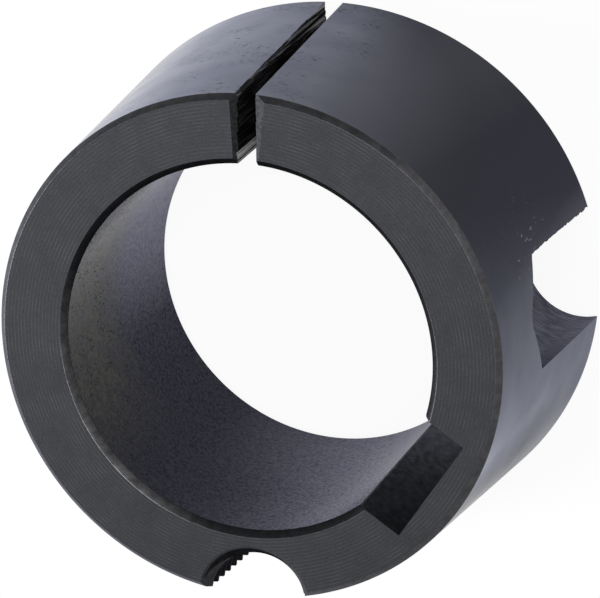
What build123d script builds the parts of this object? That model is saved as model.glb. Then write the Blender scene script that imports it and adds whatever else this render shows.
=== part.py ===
from build123d import *

import os
from math import ceil, radians, tan

# Taper bush: one turned, drilled, slotted and split piece of cast iron.
# Millimetres. The large end stands on z = 0 and the small end faces +Z.
# Angles are degrees anticlockwise round +Z, seen from the small end,
# and the middle of the keyway is at 0.

# Turned blank
large_end_diameter = 47.5
length = 25.4
taper_angle = 8.0  # included angle of the outer cone
large_end_wall = 7.75  # from the bore to the rim of the large end
rim_chamfer_small_end = 0.45
rim_chamfer_large_end = 0.2
bore_chamfer_small_end = 0.55
bore_chamfer_large_end = 1.1

# Keyway, cut along the whole bore
keyway_width = 10.0
keyway_depth = 3.3  # from the bore's wall to the keyway's floor

# Half-holes, shared with the hub that the bush sits in
screw_circle_inset = 1.45  # from the rim of the large end to the middle of a half-hole
setting_hole_diameter = 10.1
setting_hole_depth = 14.6  # from the large end to the shoulder of the drill point
drill_point_angle = 118.0
first_setting_hole_angle = 39.4
second_setting_hole_angle = 219.4
removal_hole_diameter = 8.1  # tapping size of the removal screw
removal_hole_mouth_diameter = 9.9
removal_hole_angle = -55.1

# Slit that lets the bush close on its shaft
slit_width = 1.5  # between the crests of the ridges
slit_angle = 123.7  # where the slit crosses the middle of the wall
slit_lean = 1.1  # away from the radial line
slit_skew = 0.85  # away from the axis
ridge_pitch = 0.9
ridge_height = 0.12
ridge_run = 0.85  # share of the pitch over which a ridge falls away before the next one rises
bevel_slope = 0.6  # depth of a bevel over its width
first_wall_bevel_at_bore = 0.2
first_wall_bevel_at_rim = 1.1
second_wall_bevel = 0.5
large_end_bevel = 0.4

overrun = 2.0  # how far each cutter reaches past the metal

large_end_radius = large_end_diameter / 2
bore_radius = large_end_radius - large_end_wall
screw_circle_radius = large_end_radius - screw_circle_inset
keyway_floor = bore_radius + keyway_depth


def cone_radius(height):
    """Radius of the outer cone at a height above the large end."""
    return large_end_radius - height * tan(radians(taper_angle / 2))


wall_middle = (bore_radius + cone_radius(length / 2)) / 2


def turned_blank():
    """Cone outside, parallel bore inside and a chamfer on each of the four rims."""
    small_rim = length - rim_chamfer_small_end
    outline = Polyline(
        (bore_radius + bore_chamfer_large_end, 0),
        (cone_radius(0) - rim_chamfer_large_end, 0),
        (cone_radius(rim_chamfer_large_end), rim_chamfer_large_end),
        (cone_radius(small_rim), small_rim),
        (cone_radius(length) - rim_chamfer_small_end, length),
        (bore_radius + bore_chamfer_small_end, length),
        (bore_radius, length - bore_chamfer_small_end),
        (bore_radius, bore_chamfer_large_end),
        close=True,
    )
    return revolve(Plane.XZ * make_face(outline), Axis.Z)


def keyway_cutter():
    """Square-cornered slot from the middle of the bore to the keyway's floor."""
    cut = Box(
        keyway_floor,
        keyway_width,
        length + 2 * overrun,
        align=(Align.MIN, Align.CENTER, Align.MIN),
    )
    return Pos(0, 0, -overrun) * cut


def on_screw_circle(cutter, angle):
    """The cutter, made on the Z axis, moved out to the screw circle."""
    return Rot(0, 0, angle) * Pos(screw_circle_radius, 0, 0) * cutter


def setting_hole_cutter():
    """Blind drilled hole from the large end, with the cone that the drill leaves."""
    radius = setting_hole_diameter / 2
    point_length = radius / tan(radians(drill_point_angle / 2))
    flank = Polyline(
        (0, -overrun),
        (radius, -overrun),
        (radius, setting_hole_depth),
        (0, setting_hole_depth + point_length),
        close=True,
    )
    return revolve(Plane.XZ * make_face(flank), Axis.Z)


def removal_hole_cutter():
    """Through hole of tapping size, countersunk at both ends."""
    radius = removal_hole_diameter / 2
    mouth_radius = removal_hole_mouth_diameter / 2
    sink = mouth_radius - radius
    flank = Polyline(
        (0, -overrun),
        (mouth_radius + overrun, -overrun),
        (radius, sink),
        (radius, length - sink),
        (mouth_radius + overrun, length + overrun),
        (0, length + overrun),
        close=True,
    )
    return revolve(Plane.XZ * make_face(flank), Axis.Z)


def along_slit(cutter):
    """The cutter, made with X out along the slit, turned and moved to the slit."""
    middle = Pos(wall_middle, 0, length / 2)
    return Rot(0, 0, slit_angle) * middle * Rot(slit_skew, 0, slit_lean) * cutter


def slit_cutter():
    """Saw cut whose walls carry ridges that run from end to end of the bush."""
    half_wall = (large_end_radius - bore_radius) / 2 + overrun
    ridges = ceil(2 * half_wall / ridge_pitch)
    crest = slit_width / 2
    root = crest + ridge_height
    wall = []
    for ridge in range(ridges):
        start = ridge * ridge_pitch - half_wall
        wall += [(start, crest), (start + ridge_run * ridge_pitch, root)]
    other_wall = [(x, -y) for x, y in reversed(wall)]
    section = make_face(Polyline(*wall, *other_wall, close=True))
    return extrude(section, amount=length / 2 + overrun, both=True)


def bevel_cutter(side, at_bore, at_rim):
    """Wedge that takes a bevel off one wall's edge at the small end."""
    half_wall = (large_end_radius - bore_radius) / 2
    growth = (at_rim - at_bore) / (2 * half_wall)
    sections = []
    for x in (-half_wall - overrun, half_wall + overrun):
        far_edge = slit_width / 2 + at_bore + growth * (x + half_wall)
        above = bevel_slope * overrun
        corners = [(0, -bevel_slope * far_edge), (far_edge + overrun, above), (0, above)]
        section = Polyline(*[(side * y, z) for y, z in corners], close=True)
        sections.append(Plane.YZ.offset(x) * make_face(section))
    return Pos(0, 0, length / 2) * loft(sections, ruled=True)


def slit_bevels():
    """Bevels on both walls at the small end, and lighter ones at the large end."""
    cutters = [
        bevel_cutter(-1, first_wall_bevel_at_bore, first_wall_bevel_at_rim),
        bevel_cutter(1, second_wall_bevel, second_wall_bevel),
    ]
    for side in (-1, 1):
        cutters.append(Rot(180, 0, 0) * bevel_cutter(side, large_end_bevel, large_end_bevel))
    return cutters


def taper_bush():
    """The finished bush."""
    bush = turned_blank() - keyway_cutter()
    for angle in (first_setting_hole_angle, second_setting_hole_angle):
        bush -= on_screw_circle(setting_hole_cutter(), angle)
    bush -= on_screw_circle(removal_hole_cutter(), removal_hole_angle)
    for cutter in [slit_cutter(), *slit_bevels()]:
        bush -= along_slit(cutter)
    return bush


os.makedirs("parts", exist_ok=True)
export_step(taper_bush(), "parts/taper_bush.step")
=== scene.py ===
# %% [markdown]
# # A taper bush, dressed for its photograph
# The part is one small ring of cast iron with a blackened finish. A belt pulley is gripped
# on its shaft by it. This notebook builds it a second time in Blender, round the packed
# CAD model, because the looks need more than the solid holds: a screw thread, the ridges
# of a rough slit, rounded edges, turning marks, nicks and rubbed places.

# %% Load the frame
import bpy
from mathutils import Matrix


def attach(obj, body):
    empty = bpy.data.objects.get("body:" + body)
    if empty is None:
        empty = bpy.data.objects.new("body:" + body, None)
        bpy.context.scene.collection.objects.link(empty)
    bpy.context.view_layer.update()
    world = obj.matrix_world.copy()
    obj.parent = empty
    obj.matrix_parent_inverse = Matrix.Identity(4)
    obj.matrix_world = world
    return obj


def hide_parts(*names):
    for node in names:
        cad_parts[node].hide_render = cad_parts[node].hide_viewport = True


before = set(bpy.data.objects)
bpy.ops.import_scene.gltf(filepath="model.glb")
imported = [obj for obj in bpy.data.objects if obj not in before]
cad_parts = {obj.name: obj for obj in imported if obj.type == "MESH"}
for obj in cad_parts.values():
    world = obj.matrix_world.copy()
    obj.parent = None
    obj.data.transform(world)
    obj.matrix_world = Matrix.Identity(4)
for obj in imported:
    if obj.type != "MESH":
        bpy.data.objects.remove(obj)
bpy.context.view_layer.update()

# %% The libraries
from math import atan2, cos, degrees, pi, radians, sin, tan

import bmesh
import bpy
from mathutils import Matrix, Vector, noise

scene = bpy.context.scene
scene.view_settings.view_transform = "Standard"

# %% [markdown]
# ## Sizes
# They are the ones in the CAD source, in millimetres, as on a workshop drawing. Everything
# is modelled in millimetres and turned into metres at the end, in one place. Angles are
# degrees anticlockwise round the axis, seen from the small end, from the keyway's middle.

# %% Sizes from the CAD source
METRE = 0.001  # one millimetre in metres
LENGTH = 25.4
LARGE_RADIUS = 23.75
TAPER = tan(radians(4.0))  # half of the cone's 8 degrees
BORE_RADIUS = 16.0
SCREW_CIRCLE = 22.3  # radius of the circle that the half-holes stand on
OVERRUN = 2.0  # how far a cutter reaches past the metal
LARGE_RIM_CHAMFER, SMALL_RIM_CHAMFER = 0.2, 0.45
LARGE_BORE_CHAMFER, SMALL_BORE_CHAMFER = 1.1, 0.55


def cone_radius(height):
    """Radius of the outer cone at a height above the large end."""
    return LARGE_RADIUS - height * TAPER


small_rim = LENGTH - SMALL_RIM_CHAMFER
blank_outline = [
    (BORE_RADIUS + LARGE_BORE_CHAMFER, 0),
    (LARGE_RADIUS - LARGE_RIM_CHAMFER, 0),
    (cone_radius(LARGE_RIM_CHAMFER), LARGE_RIM_CHAMFER),
    (cone_radius(small_rim), small_rim),
    (cone_radius(LENGTH) - SMALL_RIM_CHAMFER, LENGTH),
    (BORE_RADIUS + SMALL_BORE_CHAMFER, LENGTH),
    (BORE_RADIUS, LENGTH - SMALL_BORE_CHAMFER),
    (BORE_RADIUS, LARGE_BORE_CHAMFER),
]
print("outline corners:", len(blank_outline))

# %% [markdown]
# ## How the pieces are made
# A turned part is round because it turned under the tool, so its form here is an outline spun
# round the Z axis, with the last ring of corners joined to the first. Stacked cylinders would
# do for a plain ring. They couldn't carry the small rounding on each edge, which the outline
# gets before it is spun.

# %% Helpers for making pieces
SAME_POINT = 0.0002  # corners closer than this are one


def as_object(name, form):
    """Closes a bmesh up into an object of its own."""
    bmesh.ops.remove_doubles(form, verts=form.verts, dist=SAME_POINT)
    bmesh.ops.recalc_face_normals(form, faces=form.faces)
    mesh = bpy.data.meshes.new(name)
    form.to_mesh(mesh)
    form.free()
    made = bpy.data.objects.new(name, mesh)
    scene.collection.objects.link(made)
    return made


def turned(name, outline, steps=360, closed=True, rounding=0.0):
    """Spins an outline, given as corners of radius and height, round the Z axis."""
    form = bmesh.new()
    corners = [form.verts.new((radius, 0, height)) for radius, height in outline]
    ends = corners[1:] + corners[:1] if closed else corners[1:]
    for start, end in zip(corners, ends):
        form.edges.new((start, end))
    if rounding:
        bmesh.ops.bevel(
            form, geom=list(form.verts), offset=rounding, offset_type="OFFSET",
            affect="VERTICES", segments=3, profile=0.5, material=-1,
        )
    bmesh.ops.spin(
        form, geom=list(form.verts) + list(form.edges), cent=(0, 0, 0), axis=(0, 0, 1),
        dvec=(0, 0, 0), angle=2 * pi, steps=steps, use_merge=True,
    )
    return as_object(name, form)


# %% [markdown]
# ## Blackened iron
# The bush is cast iron, machined all over, then blackened in a hot bath and oiled. Looked at
# face on, such a skin is almost black. Looked at along the surface, it mirrors what stands
# round it, with a bluish cast. A flat grey paint would miss that, so each finish is a metal
# with a very dark tone face on and a bright, bluish one at the edge.
# Every mark is a pattern in millimetres, fixed to the object, so that it stays in place from
# each side. The helpers below keep the recipes short.

# %% Finish helpers


def start_finish(name, tone, roughness, tint=(0.86, 0.88, 1.0)):
    """A dark blackened finish. Its mirror image turns bluish as the eye drops to the surface."""
    made = bpy.data.materials.new(name)
    made.use_nodes = True
    shader = made.node_tree.nodes["Principled BSDF"]
    shader.inputs["Base Color"].default_value = (*tone, 1)
    shader.inputs["Metallic"].default_value = 1.0
    shader.inputs["Roughness"].default_value = roughness
    shader.inputs["Specular Tint"].default_value = (*tint, 1)
    return made, shader


def grain(made, across, along, detail=2.0, place=(0, 0, 0), roughness=0.5):
    """Noise fixed to the object. Its grains are `across` mm wide and `along` mm tall."""
    nodes, links = made.node_tree.nodes, made.node_tree.links
    where = nodes.new("ShaderNodeTexCoord")
    stretch = nodes.new("ShaderNodeMapping")
    width, height = 1 / across / METRE, 1 / along / METRE
    stretch.inputs["Scale"].default_value = (width, width, height)
    stretch.inputs["Location"].default_value = place
    spots = nodes.new("ShaderNodeTexNoise")
    spots.inputs["Scale"].default_value = 1.0
    spots.inputs["Detail"].default_value = detail
    spots.inputs["Roughness"].default_value = roughness
    links.new(where.outputs["Object"], stretch.inputs["Vector"])
    links.new(stretch.outputs["Vector"], spots.inputs["Vector"])
    return spots.outputs["Fac"]


def rings(made, pitch, unevenness=0.7):
    """Evenly spaced rings round the axis, such as a facing cut leaves, a little out of true."""
    nodes, links = made.node_tree.nodes, made.node_tree.links
    where = nodes.new("ShaderNodeTexCoord")
    size = nodes.new("ShaderNodeMapping")
    size.inputs["Scale"].default_value = (1 / METRE, 1 / METRE, 0)
    grooves = nodes.new("ShaderNodeTexWave")
    grooves.wave_type = "RINGS"
    grooves.rings_direction = "Z"
    grooves.inputs["Scale"].default_value = pi / 10 / pitch
    grooves.inputs["Distortion"].default_value = unevenness
    grooves.inputs["Detail"].default_value = 2.0
    grooves.inputs["Detail Scale"].default_value = 0.8
    links.new(where.outputs["Object"], size.inputs["Vector"])
    links.new(size.outputs["Vector"], grooves.inputs["Vector"])
    return grooves.outputs["Fac"]


def toward(made, azimuth):
    """How far a point lies in one direction from the axis, in mm."""
    nodes, links = made.node_tree.nodes, made.node_tree.links
    where = nodes.new("ShaderNodeTexCoord")
    along = nodes.new("ShaderNodeVectorMath")
    along.operation = "DOT_PRODUCT"
    turn = radians(azimuth)
    along.inputs[1].default_value = (cos(turn) / METRE, sin(turn) / METRE, 0)
    links.new(where.outputs["Object"], along.inputs[0])
    return along.outputs["Value"]


def off(made, point):
    """How far a point lies from another, in mm."""
    nodes, links = made.node_tree.nodes, made.node_tree.links
    where = nodes.new("ShaderNodeTexCoord")
    size = nodes.new("ShaderNodeMapping")
    size.inputs["Scale"].default_value = (1 / METRE, 1 / METRE, 1 / METRE)
    gap = nodes.new("ShaderNodeVectorMath")
    gap.operation = "DISTANCE"
    gap.inputs[1].default_value = point
    links.new(where.outputs["Object"], size.inputs["Vector"])
    links.new(size.outputs["Vector"], gap.inputs[0])
    return gap.outputs["Value"]


def above(made):
    """Height over the large end, in mm."""
    nodes, links = made.node_tree.nodes, made.node_tree.links
    where = nodes.new("ShaderNodeTexCoord")
    split = nodes.new("ShaderNodeSeparateXYZ")
    size = nodes.new("ShaderNodeMapping")
    size.inputs["Scale"].default_value = (1 / METRE, 1 / METRE, 1 / METRE)
    links.new(where.outputs["Object"], size.inputs["Vector"])
    links.new(size.outputs["Vector"], split.inputs["Vector"])
    return split.outputs["Z"]


def spread(made, source, low, high, to_low, to_high):
    """Stretches the part of a pattern between low and high over another range."""
    nodes, links = made.node_tree.nodes, made.node_tree.links
    shift = nodes.new("ShaderNodeMapRange")
    shift.inputs["From Min"].default_value = low
    shift.inputs["From Max"].default_value = high
    shift.inputs["To Min"].default_value = to_low
    shift.inputs["To Max"].default_value = to_high
    links.new(source, shift.inputs["Value"])
    return shift.outputs["Result"]


def blend(made, share, first, second):
    """A colour between two others, by a pattern. Either may be a colour made before."""
    nodes, links = made.node_tree.nodes, made.node_tree.links
    mix = nodes.new("ShaderNodeMix")
    mix.data_type = "RGBA"
    links.new(share, mix.inputs["Factor"])
    for slot, colour in (("A", first), ("B", second)):
        socket = next(s for s in mix.inputs if s.name == slot and s.type == "RGBA")
        if isinstance(colour, tuple):
            socket.default_value = (*colour, 1)
        else:
            links.new(colour, socket)
    return next(s for s in mix.outputs if s.type == "RGBA")


def of_two(made, operation, first, second):
    """One pattern worked out from two."""
    nodes, links = made.node_tree.nodes, made.node_tree.links
    both = nodes.new("ShaderNodeMath")
    both.operation = operation
    links.new(first, both.inputs[0])
    links.new(second, both.inputs[1])
    return both.outputs["Value"]


def times(made, first, second):
    """High only where both patterns are."""
    return of_two(made, "MULTIPLY", first, second)


def either(made, first, second):
    """High where one of the patterns is."""
    return of_two(made, "MAXIMUM", first, second)


def feed(shader, socket, pattern):
    """Puts a pattern or a colour on one of the shader's sockets."""
    shader.id_data.links.new(pattern, shader.inputs[socket])


def relief(made, shader, *layers):
    """Bumps laid one on another; each layer is a pattern and its height in mm."""
    nodes, links = made.node_tree.nodes, made.node_tree.links
    below = None
    for pattern, height in layers:
        bump = nodes.new("ShaderNodeBump")
        bump.inputs["Distance"].default_value = height * METRE
        links.new(pattern, bump.inputs["Height"])
        if below:
            links.new(below, bump.inputs["Normal"])
        below = bump.outputs["Normal"]
    links.new(below, shader.inputs["Normal"])


# %% [markdown]
# ## The faced ends
# A facing tool leaves one fine spiral, with a light crest every 0.31 mm, worn away here and
# there. Cut as real grooves it would take a million faces for something half a hair deep. It
# is drawn as rings, broken up by a coarser pattern, with a slight relief. Straight down the
# skin is matt, and it stays matt at the edge, as the crests scatter the light.

# %% The faced ends
faced, shader = start_finish("faced_end", (0.066, 0.068, 0.074), 0.50, tint=(0.12, 0.12, 0.13))
crests = rings(faced, pitch=0.31)
thin = spread(faced, crests, 0.72, 1.0, 0, 1)
broken = spread(faced, grain(faced, 2.0, 2.0, detail=5.0, roughness=0.75), 0.40, 0.66, 0, 1)
speckle = spread(faced, grain(faced, 0.16, 0.16), 0.3, 0.7, 0, 1)
speckled = blend(faced, speckle, (0.043, 0.045, 0.049), (0.054, 0.056, 0.061))
lined = blend(faced, times(faced, thin, broken), speckled, (0.080, 0.082, 0.086))
feed(shader, "Base Color", lined)
feed(shader, "Roughness", spread(faced, grain(faced, 3.0, 3.0), 0.3, 0.7, 0.48, 0.54))
relief(faced, shader, (crests, 0.0015), (grain(faced, 0.12, 0.12), 0.005))
print(faced.name, "nodes:", len(faced.node_tree.nodes))

# %% [markdown]
# ## The turned cone
# The cone is the face that grips the hub, so it is the smoothest one. It shows faint clouds
# from the bath, fine lines from the tool, and small dark nicks near the slit where the saw came
# through. Its tone is painted paler on two sides, as painted light. A few bright flecks stand
# round the end of the setting hole, where the drill's burr was knocked off. The Specular Tint
# sets how much a metal mirrors along the surface, so the clouds and the nicks are drawn in it,
# and so is painted shade: a dimmer reflection towards the small end on one side, and between
# hole and slit.

# %% The turned cone
coned, shader = start_finish("turned_cone", (0.005, 0.005, 0.006), 0.15)

# Dark nicks in clusters, on the slit's side.
clusters = times(
    coned,
    spread(coned, toward(coned, 140), 18.5, 21.0, 0.1, 1),
    spread(coned, grain(coned, 3.0, 3.0, detail=3.0, place=(5, 2, 7)), 0.46, 0.60, 0, 1),
)
nick_spots = spread(coned, grain(coned, 0.5, 0.12, detail=2.0), 0.61, 0.68, 0, 1)
nicks = times(coned, clusters, nick_spots)

# What the skin mirrors: clouds, dimmed by painted shade towards the small end on one side,
# and again between hole and slit.
cloud = grain(coned, 5.0, 3.0, detail=5.0)
cloud_share = spread(coned, cloud, 0.3, 0.7, 0, 1)
clouded = blend(coned, cloud_share, (0.72, 0.74, 0.87), (0.84, 0.86, 0.98))
# Painted shade: the reflection is dimmed towards the small end on the side at -12 degrees.
painted_shade_small_end = times(
    coned,
    spread(coned, toward(coned, -12), 20.0, 22.0, 0, 1),
    spread(coned, above(coned), -8.0, 24.0, 0, 1),
)
clouds_and_painted_shade = blend(coned, painted_shade_small_end, clouded, (0.22, 0.22, 0.24))
# Painted shade: the reflection is dimmed on the side at 80 degrees, between hole and slit.
painted_shade_side = spread(coned, toward(coned, 80), 18.8, 21.8, 0, 1)
clouds_and_painted_shades = blend(coned, painted_shade_side, clouds_and_painted_shade, (0.59, 0.60, 0.67))
feed(shader, "Specular Tint", blend(coned, nicks, clouds_and_painted_shades, (0.18, 0.18, 0.21)))
feed(shader, "Roughness", spread(coned, cloud, 0.3, 0.7, 0.17, 0.13))

# The tone: painted paler on two sides as painted light, with light flecks round the first
# setting hole's end.
struck = times(
    coned,
    spread(coned, off(coned, (14.2, 17.6, 14.0)), 6.5, 2.2, 0, 1),
    spread(coned, grain(coned, 0.35, 0.7, detail=2.0, place=(3, 3, 3)), 0.64, 0.74, 0, 1),
)
# Painted light: the tone is paler on the sides at 25 and 114 degrees.
cone_painted_light = either(
    coned,
    spread(coned, toward(coned, 25), 20.0, 22.2, 0, 1),
    spread(coned, toward(coned, 114), 18.5, 22.0, 0, 0.35),
)
cone_painted_light_tone = blend(coned, cone_painted_light, (0.035, 0.035, 0.038), (0.106, 0.106, 0.110))
feed(shader, "Base Color", blend(coned, struck, cone_painted_light_tone, (0.16, 0.16, 0.17)))

tool_lines = grain(coned, 3.0, 0.16, detail=3.0)
relief(coned, shader, (tool_lines, 0.004), (grain(coned, 0.3, 0.2), 0.002))
print(coned.name, "nodes:", len(coned.node_tree.nodes))

# %% [markdown]
# ## The bored hole
# Oil that dried near the mouth left a brownish film with dark pits in it on one side. Deeper
# in, the wall is painted bright on two sides, as painted light, and its reflection is dimmed on
# a third side, as painted shade. Two masks make the difference: one for the height over the
# large end, one for the side of the bore.

# %% The bored hole
bored, shader = start_finish("bored_wall", (0.012, 0.012, 0.014), 0.17)

# The film of dried oil, near the small end on one side.
stains = grain(bored, 1.1, 1.0, detail=8.0, roughness=0.8)
mouth = times(
    bored,
    spread(bored, above(bored), 11.0, 18.0, 0, 1),
    spread(bored, toward(bored, 200), 8.0, 13.0, 0, 1),
)
film = times(bored, mouth, spread(bored, stains, 0.36, 0.56, 0.3, 1))

# Pits, thick in the film and rare elsewhere.
pit_spots = spread(bored, grain(bored, 0.24, 0.20, detail=3.0), 0.56, 0.68, 0, 1)
pit_groups = grain(bored, 2.6, 2.6, detail=3.0, place=(1, 4, 2))
pits = times(bored, pit_spots, spread(bored, pit_groups, 0.42, 0.56, 0.1, 1))
pitted = times(bored, pits, spread(bored, mouth, 0, 1, 0.15, 1))

# What the wall mirrors: fine grains, dimmed on one side as painted shade, with the film and
# the pits on top.
fine = grain(bored, 0.3, 0.3, detail=5.0, roughness=0.7, place=(7, 1, 3))
granular = spread(bored, fine, 0.36, 0.58, 0, 1)
# Painted shade: the reflection is dimmed on the side at -102 degrees.
painted_shade_side = spread(bored, toward(bored, -102), 11.0, 15.5, 0, 1)
dark_grain = blend(bored, painted_shade_side, (0.60, 0.61, 0.72), (0.48, 0.49, 0.58))
light_grain = blend(bored, painted_shade_side, (0.88, 0.89, 1.0), (0.76, 0.77, 0.87))
tinted = blend(bored, granular, dark_grain, light_grain)
filmed = blend(bored, film, tinted, (0.80, 0.80, 0.78))
feed(shader, "Specular Tint", blend(bored, pitted, filmed, (0.30, 0.30, 0.32)))

# The tone: painted bright deep in the hole on two sides, as painted light, brownish under
# the film.
deep = spread(bored, above(bored), 3.0, 17.0, 1, 0)
# Painted light: paler on the sides at 180 and -30 degrees, deep in the hole.
bore_painted_light = either(
    bored,
    spread(bored, toward(bored, 180), 10.0, 15.5, 0, 1),
    spread(bored, toward(bored, -30), 8.0, 15.5, 0, 0.45),
)
bright_share = times(bored, deep, bore_painted_light)
bore_painted_light_tone = blend(bored, bright_share, (0.025, 0.025, 0.027), (0.150, 0.151, 0.175))
patches = grain(bored, 0.35, 0.35, detail=5.0, place=(2, 2, 5))
patch_share = spread(bored, patches, 0.35, 0.65, 0, 1)
brownish = blend(bored, patch_share, (0.024, 0.024, 0.023), (0.056, 0.055, 0.050))
feed(shader, "Base Color", blend(bored, film, bore_painted_light_tone, brownish))
feed(shader, "Roughness", spread(bored, stains, 0.3, 0.7, 0.11, 0.18))
turning_lines = grain(bored, 2.0, 0.2, detail=3.0)
roughened = grain(bored, 0.28, 0.28, detail=3.0)
relief(bored, shader, (turning_lines, 0.003), (roughened, 0.010))
print(bored.name, "nodes:", len(bored.node_tree.nodes))

# %% [markdown]
# ## The chamfered rims
# A chamfer is cut last and handled most, so it is blotchy with scuffs. Each rim is dark most of
# the way round, and painted paler on one side, as painted light. That side is picked by its
# direction from the axis.

# %% The chamfered rims
DARK_RIM_TONE, RIM_ROUGHNESS = (0.050, 0.051, 0.056), 0.42


def scuffed(made, scuffs, plain_tones, painted_lit_tones, painted_lit_side):
    """Blotchy tones, the second two of them only on the side that is painted as lit."""
    plain = blend(made, spread(made, scuffs, 0.40, 0.70, 0, 1), *plain_tones)
    painted_lit = blend(made, spread(made, scuffs, 0.35, 0.65, 0, 1), *painted_lit_tones)
    return blend(made, painted_lit_side, plain, painted_lit)


outer_rim, shader = start_finish("outer_rim", DARK_RIM_TONE, RIM_ROUGHNESS)
scuffs = grain(outer_rim, 0.8, 0.8, detail=4.0, roughness=0.7)
# Painted light: the outer rim is paler on the side at 10 degrees.
painted_lit_side = spread(outer_rim, toward(outer_rim, 10), 2.0, 9.0, 0, 1)
plain_tones = ((0.055, 0.056, 0.061), (0.085, 0.086, 0.092))
painted_lit_tones = ((0.09, 0.09, 0.095), (0.14, 0.14, 0.147))
feed(shader, "Base Color", scuffed(outer_rim, scuffs, plain_tones, painted_lit_tones, painted_lit_side))
feed(shader, "Roughness", spread(outer_rim, painted_lit_side, 0, 1, 0.45, 0.65))
relief(outer_rim, shader, (scuffs, 0.006))

bore_rim, shader = start_finish("bore_rim", DARK_RIM_TONE, RIM_ROUGHNESS)
scuffs = grain(bore_rim, 0.8, 0.8, detail=4.0, roughness=0.7)
# Painted light: the bore rim is paler on the side at 242 degrees.
painted_lit_side = spread(bore_rim, toward(bore_rim, 242), 10.5, 15.0, 0, 1)
plain_tones = ((0.032, 0.033, 0.037), (0.052, 0.053, 0.058))
painted_lit_tones = ((0.10, 0.10, 0.105), (0.20, 0.20, 0.21))
feed(shader, "Base Color", scuffed(bore_rim, scuffs, plain_tones, painted_lit_tones, painted_lit_side))
relief(bore_rim, shader, (scuffs, 0.006))
print("rims:", outer_rim.name, bore_rim.name)

# %% [markdown]
# ## The broached keyway
# A broach is pulled straight through, so its marks run along the bush. The oil that it pushed
# ahead has left dark smears. The groove is painted lighter towards the large end and darker
# towards the small end, as painted light and shade.

# %% The broached keyway
broached, shader = start_finish(
    "broached_keyway", (0.030, 0.031, 0.034), 0.30, tint=(0.60, 0.61, 0.66)
)
drag = grain(broached, 0.16, 6.0, detail=3.0)
smears = grain(broached, 0.7, 1.0, detail=6.0, roughness=0.7)
smear_share = spread(broached, smears, 0.35, 0.65, 0, 1)
# Painted light and shade: lighter towards the large end, darker towards the small end.
keyway_painted_shade = spread(broached, above(broached), 3.0, 15.0, 0, 1)
dark_smear_painted_shade = blend(broached, keyway_painted_shade, (0.060, 0.061, 0.072), (0.028, 0.029, 0.032))
light_smear_painted_shade = blend(broached, keyway_painted_shade, (0.130, 0.133, 0.155), (0.080, 0.082, 0.088))
feed(shader, "Base Color", blend(broached, smear_share, dark_smear_painted_shade, light_smear_painted_shade))
feed(shader, "Roughness", spread(broached, smears, 0.3, 0.7, 0.48, 0.38))
relief(broached, shader, (drag, 0.003), (smears, 0.004))
print(broached.name, "nodes:", len(broached.node_tree.nodes))

# %% [markdown]
# ## The drilled half-holes
# A drill cuts round and round while it goes in. Its scratches lie almost level and are drawn
# out sideways, with light crests.

# %% The drilled half-holes
drilled, shader = start_finish(
    "drilled_wall", (0.050, 0.051, 0.060), 0.33, tint=(0.72, 0.73, 0.86)
)
scratches = grain(drilled, 1.1, 0.09, detail=4.0, roughness=0.65)
scratch_share = spread(drilled, scratches, 0.42, 0.60, 0, 1)
feed(
    shader, "Base Color",
    blend(drilled, scratch_share, (0.022, 0.023, 0.030), (0.185, 0.188, 0.214)),
)
relief(drilled, shader, (scratches, 0.020))
print(drilled.name, "nodes:", len(drilled.node_tree.nodes))

# %% [markdown]
# ## The tapped half-hole
# The thread is a real groove in the mesh. Its finish only has to be dark and oily, so that
# the teeth are told apart by their outline, as in a real tapped hole. The sunk mouth round it
# is a finish of its own, paler and a little chattered.

# %% The tapped half-hole
tapped, shader = start_finish("tapped_thread", (0.026, 0.026, 0.029), 0.60, tint=(0.4, 0.4, 0.44))
oily = spread(tapped, grain(tapped, 0.5, 0.3), 0.3, 0.7, 0, 1)
feed(shader, "Base Color", blend(tapped, oily, (0.014, 0.014, 0.016), (0.026, 0.026, 0.029)))
relief(tapped, shader, (grain(tapped, 0.2, 0.1), 0.004))

sunk, shader = start_finish("sunk_mouth", (0.060, 0.061, 0.066), 0.55, tint=(0.5, 0.5, 0.54))
chatter = grain(sunk, 0.5, 0.15, detail=3.0)
chatter_share = spread(sunk, chatter, 0.35, 0.65, 0, 1)
feed(shader, "Base Color", blend(sunk, chatter_share, (0.050, 0.051, 0.056), (0.085, 0.086, 0.092)))
relief(sunk, shader, (chatter, 0.006))
print("removal hole:", tapped.name, sunk.name)

# %% [markdown]
# ## The rough slit
# The slit is sawn through in one go and never cleaned up. Its walls are torn and black, and
# its last two ridges at the bore are bare scraped iron, painted pale as a painted highlight.
# At the far end some streaks are painted bright too, as painted highlights. The bevels that a
# file left on its edges are duller than the faced end.

# %% The rough slit
rough, shader = start_finish("rough_slit", (0.026, 0.026, 0.029), 0.50, tint=(0.15, 0.15, 0.16))
torn = grain(rough, 0.22, 5.0, detail=3.0)
torn_share = spread(rough, torn, 0.46, 0.64, 0, 1)
dull = blend(rough, torn_share, (0.034, 0.034, 0.038), (0.165, 0.167, 0.178))
streaks = grain(rough, 0.25, 9.0, detail=1.0, place=(4, 1, 0))
# Painted highlights: pale, non-metal streaks towards the large end.
bright = times(
    rough,
    spread(rough, streaks, 0.52, 0.60, 0, 1),
    spread(rough, above(rough), 8.0, 3.0, 0, 1),
)
feed(shader, "Base Color", blend(rough, bright, dull, (0.20, 0.20, 0.20)))
feed(shader, "Metallic", spread(rough, bright, 0, 1, 1, 0))
relief(rough, shader, (torn, 0.02))

filed, shader = start_finish("filed_bevel", (0.060, 0.061, 0.066), 0.6)
strokes = grain(filed, 0.3, 0.3, detail=3.0)
stroke_share = spread(filed, strokes, 0.35, 0.65, 0, 1)
feed(shader, "Base Color", blend(filed, stroke_share, (0.026, 0.027, 0.030), (0.048, 0.049, 0.053)))
relief(filed, shader, (strokes, 0.006))

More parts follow.
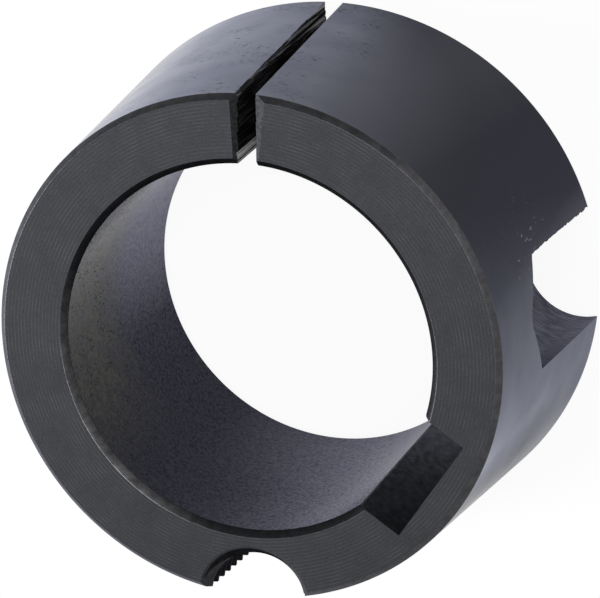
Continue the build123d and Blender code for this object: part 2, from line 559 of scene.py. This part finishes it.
# Bare iron scatters light like a pale paint, so this one isn't a mirror. Its paleness is
# raised further as a painted highlight.
scraped_lit, shader = start_finish("scraped_lit_ridge", (0.40, 0.40, 0.41), 0.6)
shader.inputs["Metallic"].default_value = 0.0
torn = grain(scraped_lit, 0.2, 5.0, detail=3.0)
torn_share = spread(scraped_lit, torn, 0.35, 0.65, 0, 1)
feed(shader, "Base Color", blend(scraped_lit, torn_share, (0.40, 0.40, 0.41), (0.90, 0.90, 0.91)))
relief(scraped_lit, shader, (torn, 0.02))
print("finishes:", [m.name for m in bpy.data.materials])

# %% [markdown]
# ## The turned blank
# First comes the ring as it leaves the lathe, in one spin. Each face gets its finish by the
# way it looks: up or down for the faced ends, slanting for the rims, level for the cone and
# the bore.

# %% The turned blank
EDGE_ROUNDING = 0.04
bush = turned("taper_bush_body", blank_outline, rounding=EDGE_ROUNDING)
for finish in (faced, coned, bored, outer_rim, bore_rim):
    bush.data.materials.append(finish)
FACED, CONED, BORED, OUTER_RIM, BORE_RIM = range(5)
LEVEL_FACE, SLANTING_FACE = 0.95, 0.2  # least upright share of a face's normal
middle_radius = (BORE_RADIUS + cone_radius(LENGTH)) / 2
for face in bush.data.polygons:
    upright = abs(face.normal.z)
    outside = face.center.to_2d().length > middle_radius
    if upright > LEVEL_FACE:
        face.material_index = FACED
    elif upright > SLANTING_FACE:
        face.material_index = OUTER_RIM if outside else BORE_RIM
    else:
        face.material_index = CONED if outside else BORED
print("blank faces:", len(bush.data.polygons))

# %% [markdown]
# ## The keyway
# A square-cornered groove for the shaft's key, open at both ends. It could be drawn into the
# outline of a profile that is pulled up, but then the cone couldn't be spun. Cutting it out
# is how it is made in the workshop, too. The cutter flares at the bore, which takes the
# sharpness off the keyway's two edges.

# %% Keyway cutter
keyway_floor, half_key = BORE_RADIUS + 3.3, 5.0
broken_edge, flare = 0.09, 1.0
shoulder = (BORE_RADIUS ** 2 - half_key ** 2) ** 0.5 + broken_edge
half_profile = [
    (keyway_floor, half_key), (shoulder, half_key),
    (shoulder - flare, half_key + flare), (0, half_key + flare),
]
form = bmesh.new()
profile = [form.verts.new((x, y, -OVERRUN)) for x, y in half_profile]
profile += [form.verts.new((x, -y, -OVERRUN)) for x, y in reversed(half_profile)]
form.faces.new(profile)
drawn = bmesh.ops.extrude_face_region(form, geom=list(form.faces))
raised = [part for part in drawn["geom"] if isinstance(part, bmesh.types.BMVert)]
bmesh.ops.translate(form, vec=(0, 0, LENGTH + 2 * OVERRUN), verts=raised)
keyway = as_object("cut_keyway", form)
keyway.data.materials.append(broached)
print("keyway cutter:", len(keyway.data.polygons), "faces")

# %% [markdown]
# ## The half-holes
# Two blind holes take the setting screws and one through hole takes the removal screw. Only
# half of each is in the bush: the other half is in the hub. They are drilled with both parts
# together, so each is cut here with a full round cutter on a circle near the rim. The
# cutters carry the drill point, and the first has a ragged edge where the iron crumbled.

# %% Half-hole cutters
SETTING_RADIUS, SETTING_DEPTH = 5.03, 14.6
CRUMBLED_AT, CRUMBLED_SPAN = 78, 25  # where round the hole its edge crumbled, in degrees


def on_screw_circle(cutter, angle):
    """Moves a cutter that was made on the axis out to its place near the rim."""
    place = Matrix.Rotation(radians(angle), 4, "Z") @ Matrix.Translation((SCREW_CIRCLE, 0, 0))
    cutter.data.transform(place)
    return cutter


def setting_hole(name, angle, ragged=0.0):
    """Blind drilled hole. Its edge crumbles by up to about `ragged` mm at one place."""
    levels = 60
    depth = SETTING_DEPTH + OVERRUN
    outline = [(0, -OVERRUN)]
    outline += [(SETTING_RADIUS, -OVERRUN + depth * i / levels) for i in range(levels + 1)]
    outline += [
        (SETTING_RADIUS - 0.35, SETTING_DEPTH + 0.25),
        (0.7, SETTING_DEPTH + 2.65), (0, SETTING_DEPTH + 2.85),
    ]
    cutter = turned(name, outline, steps=180, closed=False)
    for corner in cutter.data.vertices:
        x, y, z = corner.co
        if 0.9 * SETTING_RADIUS < (x * x + y * y) ** 0.5 and z > -0.5:
            turn = degrees(atan2(y, x))
            near = max(0.0, 1 - abs(turn - CRUMBLED_AT) / CRUMBLED_SPAN)
            coarse = noise.noise(Vector((turn / 40, 3.7, z * 2.1)))
            fine = noise.noise(Vector((turn / 20, 9.1, z * 4.7)))
            shift = ragged * near * (coarse + 0.5 * fine)
            corner.co.x += shift * cos(radians(turn))
            corner.co.y += shift * sin(radians(turn))
    return on_screw_circle(cutter, angle)


first_setting = setting_hole("cut_setting_first", 39.4, ragged=0.16)
second_setting = setting_hole("cut_setting_second", 219.4, ragged=0.05)

# The corner between the first hole's edge and the large end's rim is knocked off.
flat_side = Vector((0.794, 0.521, -0.313))
knocked_size = 1.4
knocked_angle = radians(52.4)
form = bmesh.new()
bmesh.ops.create_cube(form, size=knocked_size)
tilt = Vector((1, 0, 0)).rotation_difference(flat_side).to_matrix()
bmesh.ops.rotate(form, matrix=tilt, verts=form.verts)
corner = Vector((LARGE_RADIUS * cos(knocked_angle), LARGE_RADIUS * sin(knocked_angle), -0.2))
bmesh.ops.translate(form, vec=corner + flat_side * (knocked_size / 2), verts=form.verts)
knocked = as_object("cut_knocked_corner", form)

REMOVAL_ANGLE = -55.1
TAPPING_RADIUS, MOUTH_RADIUS = 4.05, 4.95
sink = MOUTH_RADIUS - TAPPING_RADIUS
outline = [
    (0, -OVERRUN), (MOUTH_RADIUS + OVERRUN, -OVERRUN), (TAPPING_RADIUS, sink),
    (TAPPING_RADIUS, LENGTH - sink), (MOUTH_RADIUS + OVERRUN, LENGTH + OVERRUN),
    (0, LENGTH + OVERRUN),
]
removal = on_screw_circle(turned("cut_removal", outline, steps=180, closed=False), REMOVAL_ANGLE)
half_holes = (first_setting, second_setting, removal, knocked)
print("half-hole cutters:", [cutter.name for cutter in half_holes])

# %% [markdown]
# ## The thread
# A tap leaves a helix. A stack of rings would look right from afar, but its teeth would stand
# level instead of climbing. The groove's section is swept along the helix by a spin with a
# rise at each step, and is then cut out of the drilled half-hole.

# %% Thread cutter
PITCH = 25.4 / 16  # sixteen threads to the inch
MAJOR_RADIUS = 4.76
INNER_RADIUS = 3.9  # a little inside the drilled hole
STEPS, TURNS = 96, 19
half_root, half_mouth = PITCH * 0.06, PITCH * 0.46
section = [
    (INNER_RADIUS, -half_mouth), (MAJOR_RADIUS, -half_root),
    (MAJOR_RADIUS, half_root), (INNER_RADIUS, half_mouth),
]
form = bmesh.new()
form.faces.new([form.verts.new((radius, 0, height)) for radius, height in section])
bmesh.ops.translate(form, vec=(0, 0, -OVERRUN - PITCH / 2), verts=form.verts)
bmesh.ops.spin(
    form, geom=list(form.faces) + list(form.verts) + list(form.edges),
    cent=(0, 0, 0), axis=(0, 0, 1), dvec=(0, 0, PITCH / STEPS),
    angle=2 * pi * TURNS, steps=STEPS * TURNS,
)
thread = on_screw_circle(as_object("cut_thread", form), REMOVAL_ANGLE)
print("thread cutter faces:", len(thread.data.polygons))

# %% [markdown]
# ## The slit
# The slit lets the bush close on its shaft. It leans a little, its two walls aren't quite
# parallel, and ridges run along it from end to end. All of that is in the two wall outlines
# below: x runs outward through the wall, y is the distance from the middle of the slit. The
# outlines are joined between two ends that reach past the bush. A wedge for each edge makes
# the filed bevels, which widen towards the rim.

# %% Slit cutter
CREST = 0.78  # from the middle of the slit to the crests of its ridges, about
wall_middle = (BORE_RADIUS + cone_radius(LENGTH / 2)) / 2
half_wall = (LARGE_RADIUS - BORE_RADIUS) / 2 + OVERRUN
second_wall = [
    (-5.5, 0.80), (-3.22, 0.86), (-3.0, 0.75), (-2.45, 0.87), (-2.1, 0.73), (-0.75, 0.83),
    (-0.6, 0.75), (0.5, 0.83), (0.65, 0.75), (1.75, 0.84), (1.9, 0.76), (2.9, 0.73),
    (3.05, 0.82), (3.4, 0.76), (3.6, 0.86), (6.0, 0.82),
]
# The faces in these bands get the scraped finish, painted pale as a painted highlight.
scraped_lit_bands = [(-3.0, -2.45), (-5.5, -3.22)]
first_wall = [
    (-5.5, 0.76), (-1.6, 0.76), (-1.5, 0.81), (0.2, 0.76), (0.3, 0.82), (2.2, 0.76),
    (2.3, 0.80), (6.0, 0.76),
]


def wall_place(angle, lean, skew):
    """Where one wall of the slit stands: round the axis, off the radial line, off the axis."""
    return (
        Matrix.Rotation(radians(angle), 4, "Z")
        @ Matrix.Translation((wall_middle, 0, LENGTH / 2))
        @ Matrix.Rotation(radians(skew), 4, "X")
        @ Matrix.Rotation(radians(lean), 4, "Z")
    )


first_place = wall_place(123.58, 2.07, 0.74)
second_place = wall_place(123.81, 0.09, 0.96)


def along_slit(name, sections):
    """Joins outlines of the same number of corners, one after another, into a closed cutter."""
    form = bmesh.new()
    loops = []
    for section in sections:
        corners = [form.verts.new(corner) for corner in section]
        loops.append([form.edges.new((corners[i - 1], corners[i])) for i in range(len(corners))])
    for before, after in zip(loops, loops[1:]):
        bmesh.ops.bridge_loops(form, edges=before + after)
    for end in (loops[0], loops[-1]):
        bmesh.ops.contextual_create(form, geom=end)
    return as_object(name, form)


ends = (-LENGTH / 2 - OVERRUN, LENGTH / 2 + OVERRUN)
slit = along_slit(
    "cut_slit",
    [
        [second_place @ Vector((x, y, z)) for x, y in second_wall]
        + [first_place @ Vector((x, -y, z)) for x, y in reversed(first_wall)]
        for z in ends
    ],
)


def end_bevel(name, side, end, at_bore, at_rim, slope=0.6):
    """Wedge that takes a bevel off one wall's edge at one end of the bush."""
    place = first_place if side < 0 else second_place
    growth = (at_rim - at_bore) / (2 * half_wall - 2 * OVERRUN)
    sections = []
    for x in (-half_wall, half_wall):
        cut = at_bore + growth * (x + half_wall - OVERRUN)
        corners = [
            (0, -cut * slope), (CREST, -cut * slope),
            (CREST + cut + OVERRUN, OVERRUN * slope), (0, OVERRUN * slope),
        ]
        sections.append([place @ Vector((x, side * y, end * (LENGTH / 2 + z))) for y, z in corners])
    return along_slit(name, sections)


def rim_bevel(name, side, at_large_end, at_small_end, ragged):
    """Ragged wedge that breaks the edge between a slit wall and the cone."""
    place = first_place if side < 0 else second_place
    steps = 70
    past, inside = 1.0, 0.3  # how far the wedge stands outside the cone, and into the slit
    sections = []
    for step in range(steps + 1):
        height = (LENGTH + 2 * past) * step / steps - past
        coarse = noise.noise(Vector((5.3, 1.7, height * 1.3)))
        fine = noise.noise(Vector((2.1, 8.2, height * 3.1)))
        widening = (at_small_end - at_large_end) * step / steps
        cut = at_large_end + widening + ragged * (coarse + 0.6 * fine)
        rim = cone_radius(height) - wall_middle
        corners = [
            (rim - cut - inside, CREST - inside),
            (rim + past, CREST + cut + past), (rim + past, CREST - inside),
        ]
        sections.append([place @ Vector((x, side * y, height - LENGTH / 2)) for x, y in corners])
    return along_slit(name, sections)


ragged_edge = rim_bevel("cut_rim_bevel", 1, 0.12, 0.28, ragged=0.06)
end_bevels = [
    end_bevel("cut_first_bevel", -1, 1, 0.05, 1.15),
    end_bevel("cut_second_bevel", 1, 1, 0.3, 0.72, slope=0.7),
    end_bevel("cut_first_large_bevel", -1, -1, 0.4, 0.4),
    end_bevel("cut_second_large_bevel", 1, -1, 0.4, 0.4),
]
print("slit cutter:", len(slit.data.polygons), "faces and", len(end_bevels) + 1, "bevels")

# %% [markdown]
# ## Cutting
# Each cutter is taken away from the blank in turn, and hands its finish to the faces that it
# makes. That keeps the borders between finishes exactly on the edges, which painting by
# position couldn't do. Where two cuts meet, corners can land a hair apart, so these are
# merged. The result is turned into metres, shaded smooth up to an angle of 28 degrees, and
# the flat ends are shaded flat, so that no rounding next to them shows in them.

# %% Cut the blank
HAIR = 0.0005  # corners closer than this after the cuts are merged
for cutter in (first_setting, second_setting):
    cutter.data.materials.append(drilled)
for cutter in (removal, thread):
    cutter.data.materials.append(tapped)
removal.data.materials.append(sunk)
for face in removal.data.polygons:
    if SLANTING_FACE < abs(face.normal.z) < LEVEL_FACE:
        face.material_index = 1
slit.data.materials.append(rough)
slit.data.materials.append(scraped_lit)
for face in slit.data.polygons:
    middle = second_place.inverted() @ face.center
    on_second_wall = middle.y > CREST / 2
    if on_second_wall and any(low < middle.x < high for low, high in scraped_lit_bands):
        face.material_index = 1
for cutter in end_bevels:
    cutter.data.materials.append(filed)
ragged_edge.data.materials.append(rough)
knocked.data.materials.append(drilled)
cutters = [
    keyway, first_setting, second_setting, knocked, removal, thread,
    slit, *end_bevels, ragged_edge,
]
for cutter in cutters:
    cut = bush.modifiers.new(cutter.name, "BOOLEAN")
    cut.operation = "DIFFERENCE"
    cut.solver = "EXACT"
    cut.object = cutter
    cut.material_mode = "TRANSFER"

bpy.context.view_layer.update()
graph = bpy.context.evaluated_depsgraph_get()
cut_mesh = bpy.data.meshes.new_from_object(bush.evaluated_get(graph))
form = bmesh.new()
form.from_mesh(cut_mesh)
bmesh.ops.remove_doubles(form, verts=form.verts, dist=HAIR)
form.to_mesh(cut_mesh)
form.free()
bush.modifiers.clear()
bush.data = cut_mesh
for cutter in cutters:
    bpy.data.objects.remove(cutter)
triangles = sum(len(face.vertices) - 2 for face in cut_mesh.polygons)
print("cut faces:", len(cut_mesh.polygons), "triangles:", triangles)

bush.data.transform(Matrix.Scale(METRE, 4))
bush.data.shade_smooth()
bush.data.set_sharp_from_angle(angle=radians(28))
for face in bush.data.polygons:
    if abs(face.normal.z) > 0.9999:
        face.use_smooth = False
weigh = bush.modifiers.new("weigh_normals", "WEIGHTED_NORMAL")
weigh.keep_sharp = True

# %% [markdown]
# ## Where it belongs
# The bush is one rigid piece, so one object stands in for the one node of the CAD model.

# %% Where it belongs
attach(bush, "root")
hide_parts("taper_bush")
print(bush.name, "stands in for the CAD node taper_bush")

# %% [markdown]
# ## The floor
# A plain pale floor. Straight to the camera it glows nearly white, for the white ground of
# the photograph. In the bush's own reflections it is only a little paler than the lamps
# leave it, so that the shadow beside the bush still darkens the cone and the bore.

# %% Floor
form = bmesh.new()
bmesh.ops.create_grid(form, x_segments=1, y_segments=1, size=3.0)
floor = as_object("floor", form)
pale = bpy.data.materials.new("pale_floor")
pale.use_nodes = True
nodes, links = pale.node_tree.nodes, pale.node_tree.links
flat = nodes["Principled BSDF"]
flat.inputs["Base Color"].default_value = (0.85, 0.85, 0.85, 1)
flat.inputs["Roughness"].default_value = 0.9
glow = nodes.new("ShaderNodeEmission")
glow.inputs["Color"].default_value = (1, 1, 1, 1)
path = nodes.new("ShaderNodeLightPath")
mix = nodes.new("ShaderNodeMixShader")
SEEN, THROUGH_GLASS, MIRRORED = 0.92, 0.92, 0.22  # shares of the glow
rays = (
    ("Is Camera Ray", SEEN), ("Is Transmission Ray", THROUGH_GLASS), ("Is Glossy Ray", MIRRORED),
)
so_far = None
for ray, paleness in rays:
    share = nodes.new("ShaderNodeMath")
    share.operation = "MULTIPLY_ADD"
    share.inputs[1].default_value = paleness
    share.inputs[2].default_value = 0.0
    links.new(path.outputs[ray], share.inputs[0])
    if so_far:
        links.new(so_far, share.inputs[2])
    so_far = share.outputs["Value"]
links.new(so_far, mix.inputs["Fac"])
links.new(flat.outputs[0], mix.inputs[1])
links.new(glow.outputs[0], mix.inputs[2])
links.new(mix.outputs[0], nodes["Material Output"].inputs["Surface"])
floor.data.materials.append(pale)
print("floor:", floor.name, "with", pale.name)

# %% [markdown]
# ## The light
# Two soft round lamps and a weak, even sky. The key lamp stands low, at the left of the
# picture, and throws a shadow to the right, which the dark side of the cone mirrors. The
# other one hangs overhead.

# %% World and lamps
world = bpy.data.worlds.new("studio")
scene.world = world
world.use_nodes = True
sky = world.node_tree.nodes["Background"]
sky.inputs["Color"].default_value = (1, 1, 1, 1)
sky.inputs["Strength"].default_value = 0.2


def soft_lamp(name, azimuth, elevation, distance, size, power):
    """Round lamp that looks at the bush from a direction in degrees and a distance in metres."""
    lamp = bpy.data.lights.new(name, "AREA")
    lamp.shape = "DISK"
    lamp.size = size
    lamp.energy = power
    holder = bpy.data.objects.new(name, lamp)
    turn, lift = radians(azimuth), radians(elevation)
    direction = Vector((cos(turn) * cos(lift), sin(turn) * cos(lift), sin(lift)))
    holder.location = direction * distance
    holder.rotation_euler = (-holder.location).to_track_quat("-Z", "Y").to_euler()
    scene.collection.objects.link(holder)
    return holder


soft_lamp("key", 225, 30, 0.8, 0.4, 7.4)
soft_lamp("overhead", 80, 75, 0.8, 0.6, 4.8)
print("lamps:", [lamp.name for lamp in bpy.data.lights])

# %% [markdown]
# ## The camera
# It looks at the small end from above, at the angle and distance of the photograph. They were
# worked out from the outlines of both ends, the slit and the keyway.

# %% Camera
camera = bpy.data.cameras.new("camera")
camera.lens = 256.088
camera.sensor_width = 36
camera.clip_start, camera.clip_end = 0.01, 10
viewer = bpy.data.objects.new("camera", camera)
right = Vector((0.7938596, 0.52113932, -0.31336998))
up = Vector((-0.60306676, 0.74087374, -0.29566296))
back = Vector((0.078086, 0.4236979, 0.90243153))
stands_at = Vector((28.61917787, 155.59280916, 342.28201528)) * METRE
turn = Matrix((right, up, back)).transposed().to_4x4()
viewer.matrix_world = Matrix.Translation(stands_at) @ turn
scene.collection.objects.link(viewer)
scene.camera = viewer
print("camera at:", [round(x, 4) for x in viewer.matrix_world.translation])
